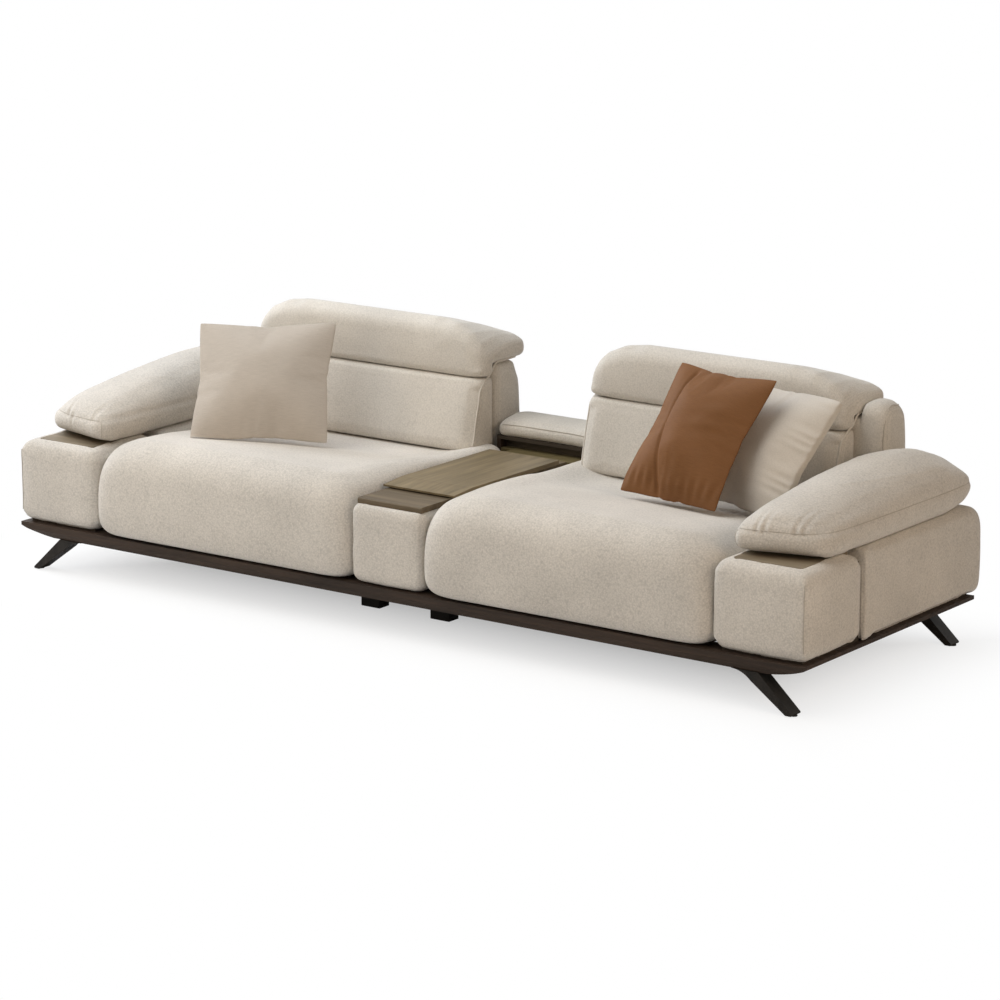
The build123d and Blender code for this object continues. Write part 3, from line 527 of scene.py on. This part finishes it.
# %% Blow the skins up
def blow_up(frames=20, pressure=4.0):
    """One cloth simulation for every queued skin, without gravity."""
    for pad in pads.values():
        cover = pad["piece"].modifiers.new("cover", "CLOTH")
        loose = "sewn" in pad
        cover.settings.use_pressure = True
        cover.settings.uniform_pressure_force = 14.0 if loose else pressure
        cover.settings.effector_weights.gravity = 0
        cover.settings.quality = 5 if loose else 3
        cover.settings.mass = 0.10 if loose else 0.15
        cover.settings.tension_stiffness = 30 if loose else 15
        cover.settings.compression_stiffness = 30 if loose else 15
        cover.settings.bending_stiffness = 0.08 if loose else 0.5
        cover.point_cache.frame_start = 1
        cover.point_cache.frame_end = frames
    scene = bpy.context.scene
    scene.frame_start = 1
    scene.frame_end = frames
    for number in range(1, frames + 1):
        scene.frame_set(number)
    for pad in pads.values():
        piece = pad["piece"]
        start = [point.co.copy() for point in piece.data.vertices]
        settle(piece)
        moved = 0
        for point, origin in zip(piece.data.vertices, start):
            step = point.co - origin
            moved = max(moved, step.length)
            if step.length > pad["cap"]:
                point.co = origin + step * (pad["cap"] / step.length)
        pad["moved"] = moved
    scene.frame_set(1)


blow_up()
print("largest moves, mm:", {node: round(pad["moved"] * 1000) for node, pad in pads.items()})

# %% Bring each scatter cushion to its size and its place
stiff_edge = 0.80
for node, pad in pads.items():
    if "sewn" not in pad:
        continue
    size, thick, evening, centre, turn = pad["sewn"]
    mesh = pad["piece"].data
    points = np.empty(len(mesh.vertices) * 3)
    mesh.vertices.foreach_get("co", points)
    points = points.reshape(-1, 3)
    cut = np.empty(len(mesh.vertices) * 3)
    mesh.attributes["on_cloth"].data.foreach_get("vector", cut)
    cut = cut.reshape(-1, 3)
    span = points.max(0) - points.min(0)
    print(node, "filled to", [round(float(value), 3) for value in span])
    points = (points - (points.max(0) + points.min(0)) / 2) * (np.array((size[0], thick, size[1])) / span)
    straight = cut * (np.array((size[0], 1, size[1])) / (cut.max(0) - cut.min(0)))
    points[:, 0] += (straight[:, 0] - points[:, 0]) * stiff_edge
    points[:, 2] += (straight[:, 2] - points[:, 2]) * stiff_edge
    mesh.vertices.foreach_set("co", points.ravel())
    evened_out(mesh, evening, (False, True, False))
    mesh.transform(Matrix.Translation(centre) @ turned(turn))
    mesh.update()

# %% Fit each skin to its solid and off its neighbours
touching = 0.006
free = 0.045
inside_only = 0.0002
arm_crown = 0.026
arm_nose = 0.010


def plump(mesh, node):
    """Crown an arm cushion: most in the middle of its top, a little on its nose."""
    low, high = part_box(node)
    for point in mesh.vertices:
        across = min(1, max(0, (point.co.x - low.x) / (high.x - low.x)))
        along = min(1, max(0, (point.co.y - low.y) / (high.y - low.y)))
        round_across = (4 * across * (1 - across)) ** 0.7
        if point.normal.z > 0:
            point.co.z += arm_crown * round_across * math.sin(math.pi * along ** 0.8) ** 0.5 * point.normal.z ** 0.5
        if point.normal.y < 0 and along < 0.3:
            point.co.y += arm_nose * round_across * point.normal.y


for node, pad in pads.items():
    mesh = pad["piece"].data
    own = solid_tree(node)
    others = solid_tree(*[other for other in solids if other != node])
    if "sewn" not in pad:
        for point in mesh.vertices:
            place, normal, index, gap = own.find_nearest(point.co)
            if (point.co - place).dot(normal) < 0:
                point.co = point.co.lerp(place, 0.95)
        evened_out(mesh, pad["soften"])
    if node.startswith("arm_cushion"):
        plump(mesh, node)
        evened_out(mesh, 5)
    for point in mesh.vertices:
        place, normal, index, gap = own.find_nearest(point.co)
        if (point.co - place).dot(normal) <= 0:
            continue
        beside = others.find_nearest(place, free)[3]
        share = 1 if beside is None else min(1, max(0, (beside - touching) / (free - touching)))
        allowed = inside_only + (pad["proud"] - inside_only) * share * share * (3 - 2 * share)
        if gap > allowed:
            point.co = place + (point.co - place) * (allowed / gap)

# %% Press soft neighbours together
squeeze = 0.018
left_open = 0.0012
slides = 0.0024
for node, pad in pads.items():
    if "sewn" in pad:
        continue
    mates = [other for other in pads if other != node and "sewn" not in pads[other]]
    fixed = [other for other in mates if body_of[other] == body_of[node]]
    moving = [other for other in mates if body_of[other] != body_of[node] and "back" in other and "back" in node]
    for group, opening in ((fixed, left_open), (moving, slides)):
        if not group:
            continue
        tree = solid_tree(*group)
        mesh = pad["piece"].data
        moves = []
        for point in mesh.vertices:
            gap = tree.ray_cast(point.co, point.normal, squeeze)[3]
            if gap is not None and gap > opening:
                moves.append((point.index, point.normal * ((gap - opening) / 2 * (1 - (gap / squeeze) ** 2))))
        for index, move in moves:
            mesh.vertices[index].co += move
        mesh.update()

# %% Fill the places where two soft pieces meet
def mesh_points(mesh):
    points = np.empty(len(mesh.vertices) * 3)
    mesh.vertices.foreach_get("co", points)
    return points.reshape(-1, 3)


def mesh_normals(mesh):
    normals = np.empty(len(mesh.vertices) * 3)
    mesh.vertex_normals.foreach_get("vector", normals)
    return normals.reshape(-1, 3)


def put_points(mesh, points):
    mesh.vertices.foreach_set("co", points.ravel())
    mesh.update()


def tightened(depth, reach, keep):
    """Draw a rounded corner tighter: depths below the reach shrink, most near the corner."""
    share = np.clip(depth / reach, 0, 1)
    return np.where((depth > 0) & (depth < reach), depth * (keep + (1 - keep) * share ** 2), depth)


def squared(node, face_x, way_x, face_y, way_y, reach=0.046, keep=0.3):
    """Tighten a vertical corner between the faces at x and at y; each way points out of the piece."""
    mesh = pads[node]["piece"].data
    points = mesh_points(mesh)
    in_x, in_y = (face_x - points[:, 0]) * way_x, (face_y - points[:, 1]) * way_y
    corner = (in_x < reach) & (in_y < reach)
    points[:, 0] = np.where(corner, face_x - way_x * tightened(in_x, reach, keep), points[:, 0])
    points[:, 1] = np.where(corner, face_y - way_y * tightened(in_y, reach, keep), points[:, 1])
    put_points(mesh, points)


def flush(node, level, way, reach=0.030, groove=0.0035):
    """Bring a front face out to its own plane near a seam, down to a narrow groove."""
    mesh = pads[node]["piece"].data
    points, normals = mesh_points(mesh), mesh_normals(mesh)
    off = (points[:, 2] - level) * way
    flat = (off > reach) & (off < reach * 2.6) & (normals[:, 1] < -0.8)
    x, z = points[:, 0], points[:, 2]
    terms = np.stack([np.ones_like(x), x, x * x, x ** 4, z], 1)
    plane = terms @ np.linalg.lstsq(terms[flat], points[flat, 1], rcond=None)[0]
    lag = points[:, 1] - plane
    near = (off < reach) & (lag > 0) & (lag < reach) & (normals[:, 1] < 0.35)
    share = np.clip((off - groove) / groove, 0, 1) * np.clip(1 - lag / reach, 0, 1)
    points[:, 1] -= np.where(near, lag * share * 0.9, 0)
    put_points(mesh, points)


console_fuller = 0.030
for side, hand in hands.items():
    body_low, body_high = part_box(f"side_body_{side}")
    block_low, block_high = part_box(f"end_block_{side}")
    face = body_high.x if hand > 0 else body_low.x
    squared(f"side_body_{side}", face, hand, body_low.y, -1)
    face = block_high.x if hand > 0 else block_low.x
    squared(f"end_block_{side}", face, hand, block_high.y, 1, keep=0.45)
    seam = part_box(f"back_lower_{side}")[1].z
    flush(f"back_lower_{side}", seam, -1)
    flush(f"back_upper_{side}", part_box(f"back_upper_{side}")[0].z, 1)
    low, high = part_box(f"seat_cushion_{side}")
    mesh = pads[f"seat_cushion_{side}"]["piece"].data
    points, normals = mesh_points(mesh), mesh_normals(mesh)
    inner = low.x if hand > 0 else high.x
    from_console = np.abs(points[:, 0] - inner)
    along = np.clip((points[:, 1] - low.y) / (high.y - low.y), 0, 1)
    rise = console_fuller * np.exp(-((from_console - 0.05) / 0.085) ** 2) * np.clip(along * 2.2 - 0.35, 0, 1)
    points[:, 2] += rise * np.clip(normals[:, 2], 0, 1) ** 0.5
    put_points(mesh, points)
    evened_out(mesh, 2)
    shell = pads[f"back_shell_{side}"]["piece"].data
    lip = solid_tree(f"back_upper_{side}")
    for point in shell.vertices:
        if point.normal.z > 0.25:
            gap = lip.ray_cast(point.co, Vector((0, 0, 1)), 0.045)[3]
            if gap is not None and gap > slides:
                point.co.z += (gap - slides) * min(1, point.normal.z * 1.3) * 0.9
    evened_out(shell, 1)

# %% [markdown]
# ## Seams and gathers
# A sewn seam pulls the cover down to the foam, so the surface dips along it, and where the cover is
# eased round a nose it bunches into small tucks. Both are pressed into the finished skins: the points
# near a seam's plane move inwards, and near the nose they ripple.

# %% Press seams into the skins
def pressed(piece, through, facing, width, depth, where, tucks=0.0, tuck_length=0.022):
    """Move points near a plane inwards, where a test on their places holds; tucks ripple beside it."""
    mesh = piece.data
    count = len(mesh.vertices) * 3
    points = np.empty(count)
    normals = np.empty(count)
    mesh.vertices.foreach_get("co", points)
    mesh.vertex_normals.foreach_get("vector", normals)
    points = points.reshape(-1, 3)
    normals = normals.reshape(-1, 3)
    facing = np.array(facing, float) / np.linalg.norm(facing)
    off = (points - np.array(through)) @ facing
    held = where(points, normals)
    dip = depth * np.clip(1 - (off / width) ** 2, 0, None) ** 2
    along = points[:, 0] + points[:, 1]
    ripple = np.sin(along * 2 * math.pi / tuck_length + 2.2 * np.sin(along * 31)) * np.sin(along * 47 + 1)
    dip = dip + tucks * ripple * np.exp(-np.abs(off) / 0.022) * (np.abs(off) > width * 0.3)
    points -= normals * (dip * held)[:, None]
    mesh.vertices.foreach_set("co", points.ravel())
    mesh.update()


arm_seam = 0.077
for side, hand in hands.items():
    low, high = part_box(f"arm_cushion_{side}")
    arm = pads[f"arm_cushion_{side}"]["piece"]
    pressed(arm, (0, 0, low.z + arm_seam), (0, 0, 1), 0.014, 0.003, lambda p, n: 1.0)
pad_low, pad_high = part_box("rear_pad")
pressed(pads["rear_pad"]["piece"], (0, pad_low.y, pad_high.z - 0.008), (0, 1, 1), 0.010, 0.002,
        lambda p, n: (p[:, 1] < pad_low.y + 0.05) * 1.0)

# %% Tucks above and below the seam on each arm's nose
tucks = {
    # share of the arm's width from the inside, up (1) or down (-1) from the seam, depth in metres
    "left": ((0.60, 1, 0.0050), (0.52, -1, 0.0040), (0.20, 1, 0.0025)),
    "right": ((0.30, 1, 0.0045), (0.37, 1, 0.0055), (0.66, 1, 0.0050), (0.73, 1, 0.0035)),
}
for side, hand in hands.items():
    low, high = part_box(f"arm_cushion_{side}")
    mesh = pads[f"arm_cushion_{side}"]["piece"].data
    inside = low.x if hand > 0 else high.x
    for point in mesh.vertices:
        rise = point.co.z - low.z - arm_seam
        if point.co.y > low.y + 0.16 or point.normal.y > -0.1:
            continue
        for share, way, depth in tucks[side]:
            off = abs(point.co.x - inside) - share * (high.x - low.x)
            up = rise * way
            if up < -0.004 or up > 0.07:
                continue
            fade = (1 - max(0, up) / 0.07) ** 1.5
            trough = math.exp(-(off / 0.0055) ** 2) - 0.5 * math.exp(-((abs(off) - 0.013) / 0.007) ** 2)
            point.co -= point.normal * (depth * trough * fade)
    mesh.update()

# %% Folds of the scatter cushions
def reshaped(colour, rule):
    """Move a scatter cushion's front by a rule of its own flat places: shares across and down."""
    mesh = pads["scatter_cushion_" + colour]["piece"].data
    size, thick, strip, evening, centre, turn = cushion_makes[colour][:6]
    away = Matrix.Translation(centre) @ turned(turn)
    home = away.inverted()
    for point in mesh.vertices:
        place = home @ point.co
        if place.y < 0.004:
            place.y += rule(place.x / size[0] + 0.5, 0.5 - place.z / size[1])
            point.co = away @ place
    mesh.update()


def bell(value, width):
    return math.exp(-(value / width) ** 2)


def brown_rule(across, down):
    """A deep crease from the top seam to the bottom, a fuller half beside it, and soft pulls to the right."""
    fade = max(0, min(1, (down - 0.02) / 0.08, (0.98 - down) / 0.08))
    line = 0.235 + 0.165 * down - 0.03 * math.sin(math.pi * down)
    off = across - line
    crease = 0.012 * bell(off, 0.022) + 0.006 * bell(off + 0.03, 0.05)
    fuller = -0.016 * bell(off - 0.17, 0.15) * (0.5 + 0.5 * down)
    pulls = 0.0022 * math.sin(down * 48 + across * 9) * bell(down - 0.45, 0.16) * bell(across - 0.72, 0.16)
    creases = 0.003 * math.sin(across * 70 + down * 12) * bell(down - 0.93, 0.07)
    return (crease + fuller + pulls + creases) * fade


def drooped(colour, corner, drop, width):
    """Let one place of a scatter cushion's edge hang: its shares across and down, how far and how wide."""
    mesh = pads["scatter_cushion_" + colour]["piece"].data
    size, thick, strip, evening, centre, turn = cushion_makes[colour][:6]
    away = Matrix.Translation(centre) @ turned(turn)
    home = away.inverted()
    for point in mesh.vertices:
        place = home @ point.co
        off = math.hypot(place.x / size[0] + 0.5 - corner[0], 0.5 - place.z / size[1] - corner[1])
        place.z -= drop * bell(off, width)
        point.co = away @ place
    mesh.update()


def cream_rule(across, down):
    """Gathers that run in from the seam on the right."""
    fade = max(0, min(1, (down - 0.02) / 0.1, (0.98 - down) / 0.1))
    runs = math.sin(down * 62 + 3 * math.sin(down * 17)) * bell(across - 0.93, 0.11)
    return (0.0035 * runs - 0.006 * bell(across - 0.75, 0.2)) * fade


reshaped("brown", brown_rule)
reshaped("cream", cream_rule)
drooped("cream", (0, 0), 0.040, 0.42)
drooped("brown", (0.5, 1), 0.014, 0.30)
reshaped("beige", lambda across, down: -0.006 * bell(across - 0.5, 0.35) * bell(down - 0.6, 0.35))

# %% Let the cushions' lower edges down onto the seats
most_sag = {"beige": 0.018, "brown": 0.024, "cream": 0.0}
above_seat = 0.004
for colour, (size, thick, strip, evening, centre, turn, cover) in cushion_makes.items():
    mesh = pads["scatter_cushion_" + colour]["piece"].data
    side = "left" if centre[0] < 0 else "right"
    form = bmesh.new()
    form.from_mesh(pads[f"seat_cushion_{side}"]["piece"].data)
    seat = BVHTree.FromBMesh(form)
    form.free()
    home = (Matrix.Translation(centre) @ turned(turn)).inverted()
    for point in mesh.vertices:
        share = 1 - ((home @ point.co).z / size[1] + 0.5) / 0.30
        if share <= 0:
            continue
        below = seat.ray_cast(point.co, Vector((0, 0, -1)), 0.2)[3]
        if below is not None:
            point.co.z -= min(max(0, below - above_seat), most_sag[colour] * share ** 2)
    mesh.update()

# %% Finish the padded pieces
for node, pad in pads.items():
    piece = pad["piece"]
    piece.data.materials.clear()
    piece.data.materials.append(cloth[pad["cover"]])
    piece.data.shade_smooth()
    smoother = piece.modifiers.new("smoother", "SUBSURF")
    smoother.levels = 1
    smoother.render_levels = 1
    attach(piece, body_of[node])
    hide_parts(node)
print("faces:", {node: len(pad["piece"].data.polygons) for node, pad in pads.items()})

# %% [markdown]
# ## Welt cord
# Along the side edges of the backs runs a welt: a cord in a strip of cloth, sewn in between two panels.
# It follows the finished skin, so each point of its line is moved to the nearest place on the padding
# and then a little outwards. A curve with a round section makes the cord itself. Plain seams get thinner
# cords in a darker cloth, which are painted shade for the dark line along each seam.

# %% Lay the welts
def skin_tree(*nodes):
    """A searchable copy of some finished skins."""
    form = bmesh.new()
    for node in nodes:
        form.from_mesh(pads[node]["piece"].data)
    form.normal_update()
    tree = BVHTree.FromBMesh(form)
    form.free()
    return tree


def skin_points(node):
    mesh = pads[node]["piece"].data
    points = np.empty(len(mesh.vertices) * 3)
    mesh.vertices.foreach_get("co", points)
    return points.reshape(-1, 3)


def edge_line(points, axis, start, stop, towards, steps, width=0.008):
    """For steps along an axis, the skin's furthest point in a direction: the line of an edge."""
    line = []
    for step in range(steps):
        level = start + (stop - start) * step / (steps - 1)
        slab = points[np.abs(points[:, axis] - level) < width]
        if len(slab):
            line.append(Vector(slab[np.argmax(slab @ np.array(towards, float))]))
    return line


def evened(line, rounds):
    for _ in range(rounds):
        middle = [(a + b * 2 + c) / 4 for a, b, c in zip(line, line[1:], line[2:])]
        line = [line[0]] + middle + [line[-1]]
    return line


def laid_cord(name, line, radius, node, proud, *skins, cover="welt"):
    """A round cord along a line, pressed a little into the skin under it."""
    on = skin_tree(*skins)
    places = []
    for point in evened(line, 6):
        place, normal, index, gap = on.find_nearest(point)
        places.append(place + normal * radius * proud)
    curve = bpy.data.curves.new(name, "CURVE")
    curve.dimensions = "3D"
    spline = curve.splines.new("POLY")
    spline.points.add(len(places) - 1)
    for knot, place in zip(spline.points, evened(places, 4)):
        knot.co = (*place, 1)
    curve.bevel_depth = radius
    curve.bevel_resolution = 2
    curve.use_fill_caps = True
    guide = bpy.data.objects.new(name + "_line", curve)
    bpy.context.collection.objects.link(guide)
    bpy.context.view_layer.update()
    mesh = bpy.data.meshes.new_from_object(guide.evaluated_get(bpy.context.evaluated_depsgraph_get()))
    bpy.data.objects.remove(guide)
    piece = bpy.data.objects.new(name, mesh)
    bpy.context.collection.objects.link(piece)
    mesh.materials.clear()
    mesh.materials.append(cloth[cover])
    mesh.shade_smooth()
    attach(piece, body_of[node])
    return piece


welt = 0.0032
for side, hand in hands.items():
    lower, upper = f"back_lower_{side}", f"back_upper_{side}"
    low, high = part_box(lower)
    lip_low, lip_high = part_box(upper)
    for edge, way in (("inner", -hand), ("outer", hand)):
        rising = edge_line(skin_points(lower), 2, low.z + 0.02, high.z - 0.012, (way, -1, 0), 26)
        head = skin_points(upper)
        rolling = edge_line(head[head[:, 2] < lip_low.z + 0.16], 1, rising[-1].y + 0.03, lip_high.y - 0.05,
                            (way, 0, -1), 22)
        laid_cord(f"welt_{edge}_{side}", rising + rolling, welt, upper, 0.25, lower, upper)
    # Thin cords of the darker seam cloth on the wing, corner and arm seams are painted shade for each seam's dark
    # line.
    shell = f"back_shell_{side}"
    low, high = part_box(shell)
    points = skin_points(shell)
    rising = edge_line(points, 2, low.z + 0.30, high.z - 0.05, (hand, -1, 0), 24)
    rolling = edge_line(points, 1, rising[-1].y + 0.03, high.y - 0.04, (hand, 0, 1), 18)
    laid_cord(f"wing_seam_{side}", rising + rolling, 0.0014, shell, 0.3, shell, cover="seam")
    block = f"end_block_{side}"
    low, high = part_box(block)
    corner = edge_line(skin_points(block), 2, low.z + 0.03, high.z - 0.03, (hand, -1, 0), 24)
    laid_cord(f"corner_seam_{side}", corner, 0.0013, block, 0.1, block, cover="seam")
    arm = f"arm_cushion_{side}"
    low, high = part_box(arm)
    points = skin_points(arm)
    level = low.z + arm_seam
    belt = points[np.abs(points[:, 2] - level) < 0.007]
    inner, outer = (low.x, high.x) if hand > 0 else (high.x, low.x)
    nose = edge_line(belt, 0, inner + hand * 0.03, outer - hand * 0.05, (0, -1, 0), 30)
    flank = edge_line(belt, 1, low.y + 0.06, high.y - 0.04, (hand, 0, 0), 60)
    for point in nose + flank:
        point.z = level
    laid_cord(f"arm_seam_{side}", nose + flank, 0.0013, arm, 0.3, arm, cover="seam")
    corner = edge_line(points[points[:, 2] < level], 2, level, low.z + 0.015, (-hand, -1, 0), 12)
    laid_cord(f"arm_corner_seam_{side}", corner, 0.0013, arm, 0.3, arm, cover="seam")
# The rear pad's seam cord is painted shade as well, in the darker seam cloth.
low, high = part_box("rear_pad")
rim = edge_line(skin_points("rear_pad"), 0, low.x + 0.02, high.x - 0.02, (0, -1, 1), 30)
laid_cord("rear_pad_seam", rim, 0.0016, "rear_pad", 0.3, "rear_pad", cover="seam")
print("welts laid")
